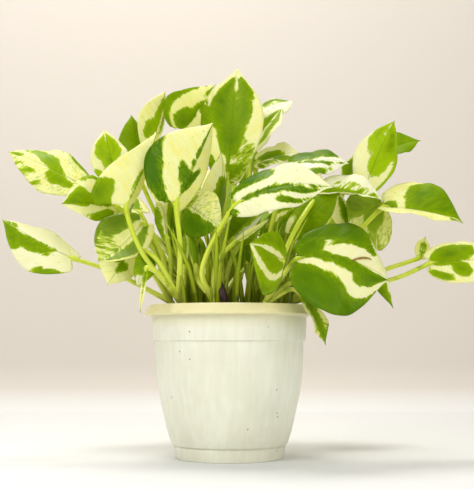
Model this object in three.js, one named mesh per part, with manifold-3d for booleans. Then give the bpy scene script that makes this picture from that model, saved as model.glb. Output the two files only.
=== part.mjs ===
// A pothos in its nursery pot. Millimetres, +Z up, the origin at the centre of the pot's underside.
// The plant's best side looks toward -Y, with +X to the viewer's right.
import * as THREE from "three";
import { mergeVertices } from "three/addons/utils/BufferGeometryUtils.js";
import Module from "manifold-3d";

const wasm = await Module();
wasm.setup();

// ---- driving dimensions ----
const GAP = 0.3; // clear space between touching pieces
const FLOOR = 2.6; // the pot's floor
const POT_SIDES = 36;
const DRAIN_HOLES = 5;
const DRAIN_RADIUS = 4;
const DRAIN_CIRCLE = 25; // from the axis to each drain hole's centre
const DRAIN_SIDES = 12;
const SOIL_RADIUS = 58;
const SOIL_EDGE = 110; // the soil's height at the pot's wall
const SOIL_RISE = 9; // the mound's middle above its edge
const SOIL_RINGS = 3;
const HOLE_RADIUS = 3.6; // the hole in the soil round each stem
const HOLE_SIDES = 8;
const STEM_RADIUS = 2.9;
const STEM_SIDES = 6;
const STEM_STEPS = 3;
const STEM_DEPTH = 13; // how deep a stem stands in the soil
const PETIOLE_RADIUS = 1.9;
const PETIOLE_SIDES = 5;
const PETIOLE_STEPS = 4;
const BLADE = 0.9; // a blade's thickness
const ROW_LENGTH = 11.5; // steps along a blade are about this long, and there are 3 to 5 of them
const FEWEST_ROWS = 3;
const MOST_ROWS = 5;
const HALF_COLUMNS = 2; // steps from a blade's midrib to its edge
const BLADE_START = 0.03; // where a blade's first and last row lie along it
const BLADE_END = 0.99;
const BROADEST = 0.42; // where most blades are broadest, from the base as a share of their length
const LOBE = 0.11; // how far the two lobes of a blade's base reach back, over its length

// The pot's outside as radius and height, from the underside's edge up to the lip.
const POT_OUTSIDE = [
  [41.2, 0], [42.8, 9], [42.2, 9.6], [44.3, 10.6], [47.7, 20], [51.2, 35.6], [54.7, 51.1], [56.4, 66.7],
  [57.3, 82.2], [57.1, 88.3], [58.9, 89.4], [60, 108], [66, 109], [65.4, 110.8], [62, 116], [61.2, 116.6],
];
// The pot's inside, from the lip back down to the floor, about 2 mm in from the outside.
const POT_INSIDE = [
  [59.6, 116.6], [59.2, 116], [58.1, 108], [57.1, 91], [55.2, 88.6], [54.4, 66.7], [49.2, 35.6],
  [42.3, 10.6], [39.6, FLOOR],
];

// ---- the plant ----
// Each stem stands upright in the soil at x, y, then leans by lean over its height above the soil.
const STEMS = {
  far_left: { at: [-44, -6], height: 9, lean: [-3, 0] },
  front_left: { at: [-36, -28], height: 9, lean: [-2, -2] },
  upper_left: { at: [-26, 12], height: 11, lean: [-3, 1] },
  front_middle: { at: [-10, -38], height: 10, lean: [-6, -1] },
  middle: { at: [-5, -8], height: 11, lean: [1, 1] },
  front_right: { at: [27, -38], height: 9, lean: [2, -2] },
  right: { at: [45, -4], height: 10, lean: [3, 0] },
  upper_right: { at: [20, 12], height: 11, lean: [2, 1] },
  back_right: { at: [34, 34], height: 10, lean: [3, 3] },
  back_middle: { at: [2, 42], height: 10, lean: [0, 3] },
  back_left: { at: [-32, 36], height: 10, lean: [-3, 3] },
};

// The leaves of each stem. A leaf is: the share of the stem's height where its petiole starts; a point that
// the petiole passes through; the blade's base and tip; its left and right edges where it is broadest, seen
// from above with the tip ahead; its arch and sideways bend over its length; its wave in mm; and, where it
// isn't the usual one, the place where it is broadest.
const LEAVES = {
  far_left: [
    [0.6, [-95, -2, 144], [-122, 0, 153], [-177, -4, 184], [-150, -15, 141], [-142, 10, 175], 0.04, -0.06, 2],
    [1, [-62, -12, 167], [-88, -12, 193], [-125, -40, 191], [-107, -30, 180], [-111, -22, 215], 0.08, 0, 2],
    [0.9, [-52, -14, 155], [-66, -18, 179], [-97, -44, 147], [-99, -24, 178], [-77, -44, 142], 0.1, 0, 2],
    [0.5, [-61, -14, 143], [-77, -8, 158], [-91, -32, 131], [-71, -12, 143], [-102, -26, 147], 0.05, 0, 1],
    [0.9, [-45, -12, 150], [-48, -15, 168], [-55, -18, 203], [-58, -19, 187], [-50, -13, 188], 0.05, 0, 1],
  ],
  upper_left: [
    [0.6, [-87, 8, 178], [-117, 10, 212], [-178, 16, 241], [-148, 2, 207], [-142, 26, 244], 0.04, 0, 3],
    [0.8, [-70, 4, 174], [-89, 0, 213], [-100, 6, 257], [-109, -4, 230], [-81, 4, 240], 0.05, 0, 2],
    [0.9, [-57, 16, 185], [-74, 16, 224], [-80, 26, 273], [-90, 14, 253], [-66, 34, 254], 0.05, 0, 1],
    [1, [-49, 14, 201], [-64, 14, 245], [-52, 20, 291], [-72, 4, 267], [-54, 30, 266], 0.05, 0, 1],
    [0.6, [-34, 8, 146], [-42, 6, 166], [-49, 8, 201], [-55, 6, 184], [-38, 12, 186], 0.05, 0, 1],
    [0.4, [-30, 18, 138], [-30, 26, 146], [-36, 34, 184], [-48, 30, 166], [-20, 32, 168], 0.05, 0, 1],
    [0.9, [-42, 6, 146], [-48, 2, 160], [-47, -4, 206], [-55, 2, 188], [-45, -8, 187], 0.05, 0, 1],
  ],
  front_left: [
    [1, [-36, -48, 159], [-39, -50, 190], [-12, -34, 254], [-64, -44, 223], [-13, -26, 226], 0.05, 0, 2],
    [0.8, [-65, -42, 155], [-77, -42, 188], [-55, -22, 250], [-100, -42, 207], [-68, -18, 206], 0.05, 0, 2, 0.15],
    [0.6, [-53, -38, 148], [-63, -36, 156], [-68, -42, 129], [-55, -34, 143], [-71, -40, 143], 0.05, 0, 1],
    [0.45, [-53, -54, 139], [-60, -56, 142], [-64, -64, 109], [-60, -61, 126], [-64, -59, 126], 0, 0, 0],
    [0.8, [-34, -31, 132], [-34, -31, 144], [-33, -30, 171], [-36, -31, 154], [-31, -29, 154], 0.03, 0, 0],
  ],
  front_middle: [
    [0.5, [-20, -46, 140], [5, -58, 188], [74, -80, 198], [40, -56, 219], [40, -80, 181], 0.06, -0.07, 3],
    [0.7, [-30, -24, 158], [-33, -20, 194], [-5, -48, 172], [-15, -30, 203], [-26, -34, 164], 0.05, 0, 1],
    [1, [-24, -35, 135], [-25, -31, 145], [-30, -27, 171], [-29, -30, 156], [-24, -28, 156], 0.03, 0, 0],
    [0.5, [-9, -42, 147], [5, -44, 162], [30, -46, 179], [16, -48, 172], [18, -40, 167], 0.03, 0, 0.5],
  ],
  middle: [
    [1, [-6, 2, 172], [-2, 6, 215], [6, -4, 304], [-22, -2, 272], [27, -10, 262], 0.03, 0, 2, 0.52],
    [0.8, [-27, 16, 201], [-37, 24, 260], [-11, -14, 288], [-57, 8, 273], [-19, 0, 266], 0.05, 0, 2],
    [0.5, [-13, -14, 155], [-11, -10, 181], [-6, -12, 235], [-20, -22, 208], [-3, 8, 211], 0.05, 0, 1],
    [0.7, [0, -6, 148], [8, -2, 165], [21, 4, 204], [2, 6, 188], [25, -4, 183], 0.05, 0, 1],
    [0.4, [4, 10, 138], [12, 22, 146], [0, 30, 188], [-12, 24, 170], [18, 30, 168], 0.05, 0, 1],
    [0.6, [-6, -8, 150], [3, -8, 168], [27, -10, 188], [14, -10, 181], [17, -8, 175], 0.03, 0, 0.5],
  ],
  upper_right: [
    [1, [16, 24, 202], [20, 26, 268], [53, 32, 286], [34, 44, 290], [34, 16, 266], 0.05, 0, 2],
    [0.9, [15, 12, 193], [16, 12, 241], [43, 16, 277], [22, 22, 269], [39, -4, 256], 0.05, 0, 2],
    [0.8, [20, 16, 189], [22, 18, 232], [56, 10, 239], [37, 26, 249], [40, 0, 227], 0.05, 0, 2],
    [0.7, [36, 14, 185], [47, 10, 225], [67, 6, 234], [56, 14, 239], [59, 2, 225], 0.05, 0, 1],
    [0.5, [35, -4, 187], [47, -8, 225], [93, -10, 227], [72, 4, 240], [71, -22, 215], 0.08, 0, 2],
    [0.6, [22, 8, 150], [30, 4, 166], [55, 8, 196], [32, 12, 190], [55, 0, 174], 0.05, 0, 1],
    [0.4, [28, 18, 136], [36, 24, 142], [42, 34, 182], [26, 30, 162], [54, 26, 164], 0.05, 0, 1],
    [0.8, [15, 7, 137], [13, 3, 150], [13, 0, 172], [10, 1, 158], [16, 1, 158], 0.03, 0, 0],
    [1, [22, 8, 138], [24, 5, 150], [31, 1, 176], [24, 2, 163], [32, 0, 161], 0.03, 0, 0],
  ],
  right: [
    [1, [88, 6, 179], [107, 4, 210], [131, 2, 263], [96, -2, 231], [138, 10, 241], 0.04, -0.04, 2],
    [0.95, [97, 24, 190], [116, 30, 239], [157, 36, 254], [136, 42, 262], [137, 20, 238], 0.04, 0, 2],
    [0.9, [80, 20, 182], [93, 20, 212], [103, 24, 241], [90, 12, 226], [103, 34, 226], 0.04, 0, 1],
    [0.8, [95, -8, 168], [119, -12, 192], [178, -24, 179], [146, 4, 216], [147, -34, 181], 0.05, 0, 2],
    [0.85, [84, 6, 170], [121, 6, 197], [91, -14, 180], [105, 6, 210], [120, 4, 160], 0.05, 0, 2],
    [0.5, [128, -6, 137], [156, -4, 149], [215, 2, 151], [181, 10, 168], [175, -14, 132], 0.05, 0, 2],
    [0.6, [126, 4, 146], [151, 12, 155], [156, 16, 172], [147, 14, 163], [161, 18, 165], 0.05, 0, 0],
    [0.7, [72, 2, 158], [92, 2, 178], [84, 4, 209], [79, 0, 190], [94, 8, 196], 0.05, 0, 1],
  ],
  front_right: [
    [1, [49, -46, 171], [70, -20, 201], [118, -24, 196], [99, -12, 218], [92, -40, 198], 0.05, 0, 2],
    [0.6, [38, -50, 135], [49, -60, 148], [116, -58, 133], [79, -41, 179], [80, -77, 105], 0.06, -0.09, 3, 0.47],
    [0.7, [68, -34, 148], [92, -32, 166], [121, -42, 113], [113, -40, 149], [98, -36, 143], 0.05, 0, 1, 0.36],
    [0.9, [33, -48, 132], [39, -58, 147], [15, -86, 157], [31, -70, 119], [33, -70, 167], 0.05, 0, 1],
    [0.8, [42, -36, 148], [48, -32, 169], [83, -30, 201], [56, -24, 195], [72, -38, 176], 0.05, 0, 1],
    [0.3, [47, -40, 127], [55, -42, 121], [72, -34, 86], [73, -30, 106], [58, -48, 107], 0.05, 0, 2],
  ],
  back_right: [
    [0.8, [58, 52, 160], [72, 62, 186], [118, 98, 210], [86, 92, 210], [102, 64, 190], 0.06, 0, 2],
    [0.5, [46, 60, 140], [56, 78, 150], [92, 128, 138], [64, 112, 148], [92, 94, 144], 0.08, 0, 2],
    [1, [46, 54, 180], [52, 64, 212], [72, 98, 248], [42, 88, 234], [80, 78, 228], 0.05, 0, 2],
  ],
  back_middle: [
    [0.8, [0, 66, 170], [-4, 84, 196], [-20, 132, 246], [-36, 104, 220], [8, 110, 226], 0.05, 0, 2],
    [0.6, [14, 64, 160], [20, 84, 180], [34, 138, 208], [8, 112, 198], [50, 104, 194], 0.06, 0, 2],
    [0.5, [-4, 62, 140], [-8, 84, 150], [-18, 144, 128], [-36, 110, 142], [12, 116, 146], 0.08, 0, 2],
    [1, [2, 58, 190], [4, 68, 226], [10, 96, 284], [-14, 80, 252], [24, 82, 254], 0.05, 0, 2],
  ],
  back_left: [
    [0.9, [-58, 50, 165], [-76, 58, 196], [-128, 84, 222], [-104, 54, 200], [-98, 92, 222], 0.06, 0, 2],
    [1, [-46, 60, 190], [-52, 74, 218], [-70, 112, 268], [-84, 92, 240], [-42, 98, 244], 0.05, 0, 2],
    [0.5, [-40, 66, 145], [-44, 86, 158], [-50, 142, 136], [-60, 110, 150], [-24, 116, 156], 0.08, 0, 2],
    [0.6, [-56, 52, 150], [-78, 62, 164], [-108, 104, 178], [-104, 72, 160], [-80, 98, 182], 0.06, 0, 2],
  ],
};

// ---- helpers ----
const vector = (point) => new THREE.Vector3(...point);

function mesh(name, geometry, colour, roughness) {
  const material = new THREE.MeshStandardMaterial({ color: colour, roughness, metalness: 0 });
  const made = new THREE.Mesh(geometry, material);
  made.name = name;
  return made;
}

// A closed geometry as a solid that can be cut and joined.
function solid(geometry) {
  const bare = geometry.clone();
  bare.deleteAttribute("normal");
  bare.deleteAttribute("uv");
  const merged = mergeVertices(bare, 1e-4);
  const vertProperties = new Float32Array(merged.attributes.position.array);
  const triVerts = new Uint32Array(merged.index.array);
  return new wasm.Manifold(new wasm.Mesh({ numProp: 3, vertProperties, triVerts }));
}

function geometryOf(body) {
  const { vertProperties, triVerts } = body.getMesh();
  const geometry = new THREE.BufferGeometry();
  geometry.setAttribute("position", new THREE.BufferAttribute(vertProperties, 3));
  geometry.setIndex(new THREE.BufferAttribute(triVerts, 1));
  geometry.computeVertexNormals();
  return geometry;
}

// A solid turned about the pot's axis, from its outline as radius and height.
function turned(outline) {
  const points = outline.map(([radius, height]) => new THREE.Vector2(radius, height));
  const geometry = new THREE.LatheGeometry(points, POT_SIDES);
  geometry.rotateX(Math.PI / 2);
  return geometry;
}

// An upright round bar, its lower end at the given height.
function bar(x, y, bottom, radius, height, sides) {
  const geometry = new THREE.CylinderGeometry(radius, radius, height, sides);
  geometry.rotateX(Math.PI / 2);
  geometry.translate(x, y, bottom + height / 2);
  return geometry;
}

// A round tube along a smooth curve through the given points.
function tube(points, radius, sides, steps) {
  const corners = [];
  for (let k = 0; k < sides; k += 1) {
    const angle = (2 * Math.PI * k) / sides;
    corners.push(new THREE.Vector2(radius * Math.cos(angle), radius * Math.sin(angle)));
  }
  const extrudePath = new THREE.CatmullRomCurve3(points, false, "centripetal");
  return new THREE.ExtrudeGeometry(new THREE.Shape(corners), { steps, bevelEnabled: false, extrudePath });
}

// ---- the pot and its soil ----
function pot() {
  let body = solid(turned([[0, 0], ...POT_OUTSIDE, ...POT_INSIDE, [0, FLOOR]]));
  for (let k = 0; k < DRAIN_HOLES; k += 1) {
    const angle = (2 * Math.PI * (k + 0.5)) / DRAIN_HOLES;
    const x = DRAIN_CIRCLE * Math.cos(angle);
    const y = DRAIN_CIRCLE * Math.sin(angle);
    body = body.subtract(solid(bar(x, y, -FLOOR, DRAIN_RADIUS, FLOOR * 3, DRAIN_SIDES)));
  }
  return mesh("pot", geometryOf(body), 0xe8e8d7, 0.45);
}

// The mound's height at a distance from the pot's axis.
function soilHeight(radius) {
  return SOIL_EDGE + SOIL_RISE * (1 - (radius / SOIL_RADIUS) ** 2);
}

function soil() {
  const outline = [[0, FLOOR + GAP]];
  for (const [radius, height] of POT_INSIDE.toReversed()) {
    if (height < SOIL_EDGE) outline.push([radius - GAP, Math.max(height, FLOOR + GAP)]);
  }
  for (let k = 0; k <= SOIL_RINGS; k += 1) {
    const radius = SOIL_RADIUS * (1 - k / SOIL_RINGS);
    outline.push([radius, soilHeight(radius)]);
  }
  let body = solid(turned(outline));
  for (const { at: [x, y] } of Object.values(STEMS)) {
    const bottom = soilHeight(Math.hypot(x, y)) - STEM_DEPTH - GAP;
    body = body.subtract(solid(bar(x, y, bottom, HOLE_RADIUS, STEM_DEPTH * 2, HOLE_SIDES)));
  }
  return mesh("soil", geometryOf(body), 0x3a2b20, 0.95);
}

// ---- stems ----
// The points of a stem's middle line, straight in the soil and bending above it.
function stemLine({ at: [x, y], height, lean: [leanX, leanY] }) {
  const ground = soilHeight(Math.hypot(x, y));
  const point = (lean, rise) => new THREE.Vector3(x + leanX * lean, y + leanY * lean, ground + rise);
  const inSoil = [point(0, -STEM_DEPTH), point(0, -STEM_DEPTH / 2), point(0, 1)];
  return [...inSoil, point(0.35, height / 2), point(1, height)];
}

// The point of a stem's middle line at a share of its height.
function onStem(stem, share) {
  const [foot, middle, top] = stemLine(stem).slice(-3);
  return share < 0.5 ? foot.lerp(middle, share * 2) : middle.lerp(top, share * 2 - 1);
}

// ---- leaves ----
// Half a blade's breadth at s along it, over its greatest: round at the base and pointed at the tip.
function breadth(s, broadest) {
  const power = Math.log(0.5) / Math.log(broadest);
  return Math.sin(Math.PI * s ** power) ** (0.55 + 0.5 * s);
}

// A blade's middle surface, as a function of s along it from base 0 to tip 1 and t across from left -1 to
// right 1. Its four corner points fix the midrib and how far and which way each half reaches.
function bladeSurface(base, tip, left, right, arch, bend, wave, broadest = BROADEST) {
  const along = tip.clone().sub(base);
  const length = along.length();
  along.normalize();
  const straight = base.clone().addScaledVector(along, length * broadest);
  const reach = [left, right].map((edge) => {
    const across = edge.clone().sub(straight);
    return across.addScaledVector(along, -across.dot(along));
  });
  const side = reach[1].clone().sub(reach[0]).normalize();
  const face = side.clone().cross(along);
  const bow = (s) => 4 * s * (1 - s) * length;
  const offset = face.clone().multiplyScalar(arch).addScaledVector(side, bend);
  const widest = reach.map((across) => across.addScaledVector(offset, -bow(broadest)));
  return (s, t) => {
    const swept = LOBE * Math.abs(t) ** 1.5 * (1 - s) ** 4;
    const phase = 2 * Math.PI * (1.6 * s + (t < 0 ? 0.15 : 0.6));
    return base
      .clone()
      .addScaledVector(along, (s - swept) * length)
      .addScaledVector(offset, bow(s))
      .addScaledVector(widest[t < 0 ? 0 : 1], breadth(s, broadest) * Math.abs(t))
      .addScaledVector(face, wave * t * t * Math.sin(Math.PI * s) * Math.sin(phase));
  };
}

// The blade as a closed solid: its grid of points moved half the thickness up and down, split into
// triangles alike on both faces, with walls round its edge.
function blade(surface, length) {
  const rows = Math.min(MOST_ROWS, Math.max(FEWEST_ROWS, Math.round(length / ROW_LENGTH)));
  const columns = 2 * HALF_COLUMNS + 1;
  const count = (rows + 1) * columns;
  const step = (BLADE_END - BLADE_START) / rows;
  const point = (i, j) => surface(BLADE_START + step * i, j / HALF_COLUMNS - 1);
  const upper = [];
  const lower = [];
  for (let i = 0; i <= rows; i += 1) {
    for (let j = 0; j < columns; j += 1) {
      const ahead = point(Math.min(i + 1, rows), j).sub(point(Math.max(i - 1, 0), j));
      const across = point(i, Math.min(j + 1, columns - 1)).sub(point(i, Math.max(j - 1, 0)));
      const out = across.cross(ahead).normalize().multiplyScalar(BLADE / 2);
      upper.push(...point(i, j).add(out).toArray());
      lower.push(...point(i, j).sub(out).toArray());
    }
  }
  const faces = [];
  const quad = (a, b, c, d) => faces.push(a, b, c, a, c, d);
  const up = (i, j) => i * columns + j;
  const down = (i, j) => count + i * columns + j;
  const last = columns - 1;
  for (let i = 0; i < rows; i += 1) {
    for (let j = 0; j < last; j += 1) {
      quad(up(i, j), up(i, j + 1), up(i + 1, j + 1), up(i + 1, j));
      faces.push(down(i, j), down(i + 1, j + 1), down(i, j + 1));
      faces.push(down(i, j), down(i + 1, j), down(i + 1, j + 1));
    }
    quad(up(i, 0), up(i + 1, 0), down(i + 1, 0), down(i, 0));
    quad(up(i + 1, last), up(i, last), down(i, last), down(i + 1, last));
  }
  for (let j = 0; j < last; j += 1) {
    quad(up(0, j + 1), up(0, j), down(0, j), down(0, j + 1));
    quad(up(rows, j), up(rows, j + 1), down(rows, j + 1), down(rows, j));
  }
  const geometry = new THREE.BufferGeometry();
  geometry.setAttribute("position", new THREE.Float32BufferAttribute([...upper, ...lower], 3));
  geometry.setIndex(faces);
  return geometry;
}

// A petiole from inside its stem, through its own point, to a little way under the blade's midrib.
function petiole(start, via, surface) {
  const points = [start, via, surface(0.01, 0), surface(0.08, 0)];
  return tube(points, PETIOLE_RADIUS, PETIOLE_SIDES, PETIOLE_STEPS);
}

// A stem with all its leaves, which grew as one piece.
function leafyStem(name) {
  const stem = STEMS[name];
  let body = solid(tube(stemLine(stem), STEM_RADIUS, STEM_SIDES, STEM_STEPS));
  for (const [share, via, base, tip, left, right, ...shape] of LEAVES[name]) {
    const surface = bladeSurface(...[base, tip, left, right].map(vector), ...shape);
    body = body.add(solid(petiole(onStem(stem, share), vector(via), surface)));
    body = body.add(solid(blade(surface, vector(tip).distanceTo(vector(base)))));
  }
  return mesh(`leafy_stem_${name}`, geometryOf(body), 0x8fa860, 0.45);
}

// ---- the whole plant ----
const plant = new THREE.Group();
plant.add(pot(), soil());
for (const name of Object.keys(STEMS)) plant.add(leafyStem(name));

export default plant;
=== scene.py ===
import math

import bpy
import numpy as np
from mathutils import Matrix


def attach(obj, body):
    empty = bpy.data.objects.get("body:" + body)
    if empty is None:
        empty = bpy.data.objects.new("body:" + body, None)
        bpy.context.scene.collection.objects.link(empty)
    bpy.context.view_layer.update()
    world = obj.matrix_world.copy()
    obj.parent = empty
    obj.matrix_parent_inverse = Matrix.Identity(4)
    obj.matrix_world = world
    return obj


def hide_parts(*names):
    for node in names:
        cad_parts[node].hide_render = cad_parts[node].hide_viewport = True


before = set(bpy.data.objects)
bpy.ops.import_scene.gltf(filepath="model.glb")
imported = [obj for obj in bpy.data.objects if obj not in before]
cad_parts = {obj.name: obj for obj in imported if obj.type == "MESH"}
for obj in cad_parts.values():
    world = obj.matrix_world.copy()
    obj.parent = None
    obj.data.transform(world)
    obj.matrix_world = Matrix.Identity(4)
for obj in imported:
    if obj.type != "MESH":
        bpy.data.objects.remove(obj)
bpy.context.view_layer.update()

# ---- The pot ----
# A thin-walled nursery pot, injection-moulded in cream-white plastic: a small foot under a groove, a plain
# bellied body, a stepped collar, and a conical skirt up to a flat lip. Its floor has five drain holes.
MM = 0.001
POT_PROFILE = [  # radius, height and how much each corner is rounded, in mm, from the underside to the floor
    (40.8, 0, 0.3), (41.3, 0.5, 0.2), (42.9, 8.6, 0.3), (42.2, 9.4, 0.2), (42.2, 10.0, 0.2),
    (44.3, 10.6, 0.5), (47.7, 20, 5), (51.2, 35.6, 6), (54.7, 51.1, 6), (56.4, 66.7, 6), (57.3, 82.2, 5),
    (57.1, 88.0, 0.5), (57.3, 88.9, 0.3), (58.8, 89.5, 0.4), (60, 107.6, 0.8), (65.4, 108.6, 0.4),
    (66, 109.6, 0.5), (65.2, 111.2, 0.7), (62, 116, 0.5), (61.4, 116.6, 0.25), (59.6, 116.6, 0.25),
    (59.2, 116, 0.3), (58.1, 108, 2), (57.1, 91, 1), (55.2, 88.6, 1), (54.4, 66.7, 6), (49.2, 35.6, 8),
    (42.3, 10.6, 6), (39.6, 2.6, 1),
]
POT_TURNS = 180
COLLAR_TOP = 0.107  # in metres, where the skirt begins
DRAIN_HOLES = 5
DRAIN_RADIUS = 4
DRAIN_CIRCLE = 25
DRAIN_SIDES = 32


def rounded(profile, steps=5):
    """The profile with each corner turned into a short curve: the corner's two neighbours at its rounding
    distance are joined by a parabola whose control point is the corner."""
    points = np.array([p[:2] for p in profile], float)
    cut = np.array([p[2] for p in profile])
    before, after = np.roll(points, 1, axis=0), np.roll(points, -1, axis=0)
    before[0], after[-1] = (0, points[0, 1]), (0, points[-1, 1])
    t = np.linspace(0, 1, steps)[:, None, None]

    def toward(other):
        way = other - points
        length = np.linalg.norm(way, axis=1)
        return points + way * (np.minimum(cut, 0.45 * length) / length)[:, None]

    start, end = toward(before), toward(after)
    curve = (1 - t) ** 2 * start + 2 * t * (1 - t) * points + t**2 * end
    return curve.transpose(1, 0, 2).reshape(-1, 2)


def turned(outline, turns):
    """A closed solid of revolution: each outline point (radius, height) is swept round the vertical axis as
    x = r cos a, y = r sin a, with one point on the axis at each end, in metres."""
    angle = np.linspace(0, 2 * np.pi, turns, endpoint=False)
    radius, height = outline[:, :1] * MM, outline[:, 1:] * MM
    ring = np.stack([radius * np.cos(angle), radius * np.sin(angle), height + 0 * angle], axis=-1)
    ends = np.array([[0, 0, outline[0, 1] * MM], [0, 0, outline[-1, 1] * MM]])
    points = np.concatenate([ring.reshape(-1, 3), ends])
    index = np.arange(len(outline) * turns).reshape(-1, turns)
    ahead = np.roll(index, -1, axis=1)
    sides = np.stack([index[:-1], ahead[:-1], ahead[1:], index[1:]], axis=-1).reshape(-1, 4)
    first, last = len(points) - 2, len(points) - 1
    caps = [(first, b, a) for a, b in zip(index[0], ahead[0])]
    caps += [(last, a, b) for a, b in zip(index[-1], ahead[-1])]
    return points, sides.tolist() + caps


def joined(parts):
    """Several meshes as the points and faces of one. Each part starts with its points and its faces."""
    starts = np.cumsum([0] + [len(part[0]) for part in parts]).tolist()
    faces = [[i + start for i in face] for part, start in zip(parts, starts) for face in part[1]]
    return np.concatenate([part[0] for part in parts]), faces


def mesh_object(name, points, faces, material=None, smooth=True):
    """A mesh in the scene, at the origin, with its place in its points."""
    mesh = bpy.data.meshes.new(name)
    mesh.from_pydata(np.asarray(points).tolist(), [], faces)
    mesh.polygons.foreach_set("use_smooth", np.full(len(mesh.polygons), smooth))
    if material:
        mesh.materials.append(material)
    mesh.update()
    made = bpy.data.objects.new(name, mesh)
    bpy.context.scene.collection.objects.link(made)
    return made


def new_piece(name, points, faces, material, slot):
    """A smooth-shaded mesh object that rides on the part's one body."""
    piece = mesh_object(name, points, faces, material)
    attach(piece, "root")
    return piece


def linear(colour):
    """The linear colour of an 8-bit screen colour, by the usual power law."""
    return tuple(((c / 255 + 0.055) / 1.055) ** 2.4 if c > 10 else c / 3295 for c in colour) + (1,)


class Nodes:
    """The shader nodes of one material. A colour is either a socket or an 8-bit screen colour."""

    def __init__(self, name):
        self.material = bpy.data.materials.new(name)
        self.material.use_nodes = True
        self.tree = self.material.node_tree
        self.tree.nodes.clear()

    def add(self, kind, inputs=None, **settings):
        """The outputs of a new node, whose inputs are set to values or linked from sockets."""
        node = self.tree.nodes.new("ShaderNode" + kind)
        for key, value in settings.items():
            setattr(node, key, value)
        for key, value in (inputs or {}).items():
            if isinstance(value, bpy.types.NodeSocket):
                self.tree.links.new(value, node.inputs[key])
            else:
                node.inputs[key].default_value = value
        return node.outputs

    def maths(self, operation, first, second=0.0, third=0.0):
        return self.add("Math", {0: first, 1: second, 2: third}, operation=operation)[0]

    def times(self, first, second):
        return self.maths("MULTIPLY", first, second)

    def rescaled(self, value, low, high):
        """A value stretched so that low becomes 0 and high becomes 1, held to that range."""
        return self.add("MapRange", {"Value": value, "From Min": low, "From Max": high})[0]

    def mixed(self, share, first, second, way="MIX"):
        """Two colours mixed by a share from 0 to 1."""
        first, second = (linear(c) if isinstance(c, tuple) else c for c in (first, second))
        return self.add("Mix", {0: share, 6: first, 7: second}, data_type="RGBA", blend_type=way)[2]

    def object_place(self):
        return self.add("TexCoord")["Object"]

    def layer(self, name):
        """The three numbers that the mesh holds for each of its points under this name."""
        return self.add("Attribute", attribute_name=name)["Vector"]

    def split(self, vector):
        return self.add("SeparateXYZ", {0: vector})

    def noise(self, place, scale, detail, roughness=0.5, stretch=None):
        if stretch:
            place = self.add("Mapping", {"Vector": place, "Scale": stretch})[0]
        values = {"Vector": place, "Scale": scale, "Detail": detail, "Roughness": roughness}
        return self.add("TexNoise", values)[0]

    def bump(self, height, strength, distance):
        return self.add("Bump", {"Height": height, "Strength": strength, "Distance": distance})[0]

    def surface(self, inputs):
        return self.add("BsdfPrincipled", inputs)[0]

    def finished(self, shader):
        self.add("OutputMaterial", {0: shader})
        return self.material


def pot_plastic():
    """Cream-white plastic: yellowed and stained at the skirt, a painted shadow of the skirt on the collar
    just under it, faint vertical flow streaks, grey dust low down, and a few small brown specks, each a
    cell of a noise pattern that passes a size and a draw."""
    nodes = Nodes("pot_plastic")
    place = nodes.object_place()
    height = nodes.split(place)[2]
    streak = nodes.noise(place, 240, 5, stretch=(1, 1, 0.12))
    cloud = nodes.noise(place, 26, 5, 0.6)
    body = nodes.mixed(nodes.rescaled(streak, 0.35, 0.75), (232, 232, 215), (221, 223, 202))
    body = nodes.mixed(nodes.rescaled(cloud, 0.45, 0.8), body, (219, 220, 198))
    # Painted shadow of the skirt: the collar darkens to a yellowish shade as it nears the skirt.
    skirt_shadow = nodes.rescaled(height, 0.098, COLLAR_TOP)
    body = nodes.mixed(nodes.times(skirt_shadow, 0.6), body, (208, 204, 160))
    stained = nodes.mixed(nodes.rescaled(cloud, 0.48, 0.7), (229, 221, 172), (206, 194, 124))
    body = nodes.mixed(nodes.rescaled(height, COLLAR_TOP, 0.109), body, stained)
    dust = nodes.times(nodes.rescaled(height, 0.03, 0.0), nodes.rescaled(cloud, 0.3, 0.7))
    body = nodes.mixed(nodes.times(dust, 0.45), body, (196, 190, 160))
    cells = nodes.add("TexVoronoi", {"Vector": place, "Scale": 140, "Randomness": 1})
    chance = nodes.add("SeparateColor", {0: cells["Color"]})[0]
    small = nodes.maths("LESS_THAN", cells["Distance"], 0.1)
    speck = nodes.times(small, nodes.maths("GREATER_THAN", chance, 0.87))
    body = nodes.mixed(nodes.times(speck, 0.6), body, (120, 92, 60))
    finish = {"Roughness": nodes.maths("MULTIPLY_ADD", cloud, 0.25, 0.27)}
    finish["Normal"] = nodes.bump(streak, 0.12, 0.0006)
    glow = {"Subsurface Weight": 0.25, "Subsurface Radius": (0.006, 0.005, 0.003)}
    return nodes.finished(nodes.surface({"Base Color": body, **finish, **glow}))


def drilled(piece):
    """The piece with its drain holes cut by five short bars."""
    points, faces = turned(np.array([(DRAIN_RADIUS, -2), (DRAIN_RADIUS, 6)], float), DRAIN_SIDES)
    turn = 2 * np.pi * (np.arange(DRAIN_HOLES) + 0.5) / DRAIN_HOLES
    shift = np.stack([np.cos(turn), np.sin(turn), 0 * turn], axis=-1) * DRAIN_CIRCLE * MM
    bars = mesh_object("drain_bars", *joined([(points + way, faces) for way in shift]), smooth=False)
    cut = piece.modifiers.new("drains", "BOOLEAN")
    cut.operation, cut.object, cut.solver = "DIFFERENCE", bars, "EXACT"
    view = bpy.context.evaluated_depsgraph_get()
    piece.data = bpy.data.meshes.new_from_object(piece.evaluated_get(view))
    piece.modifiers.clear()
    bpy.data.objects.remove(bars)


pot_outline = rounded(POT_PROFILE)
pot = new_piece("pot_shell", *turned(pot_outline, POT_TURNS), pot_plastic(), "pot_plastic")
drilled(pot)
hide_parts("pot")

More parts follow.
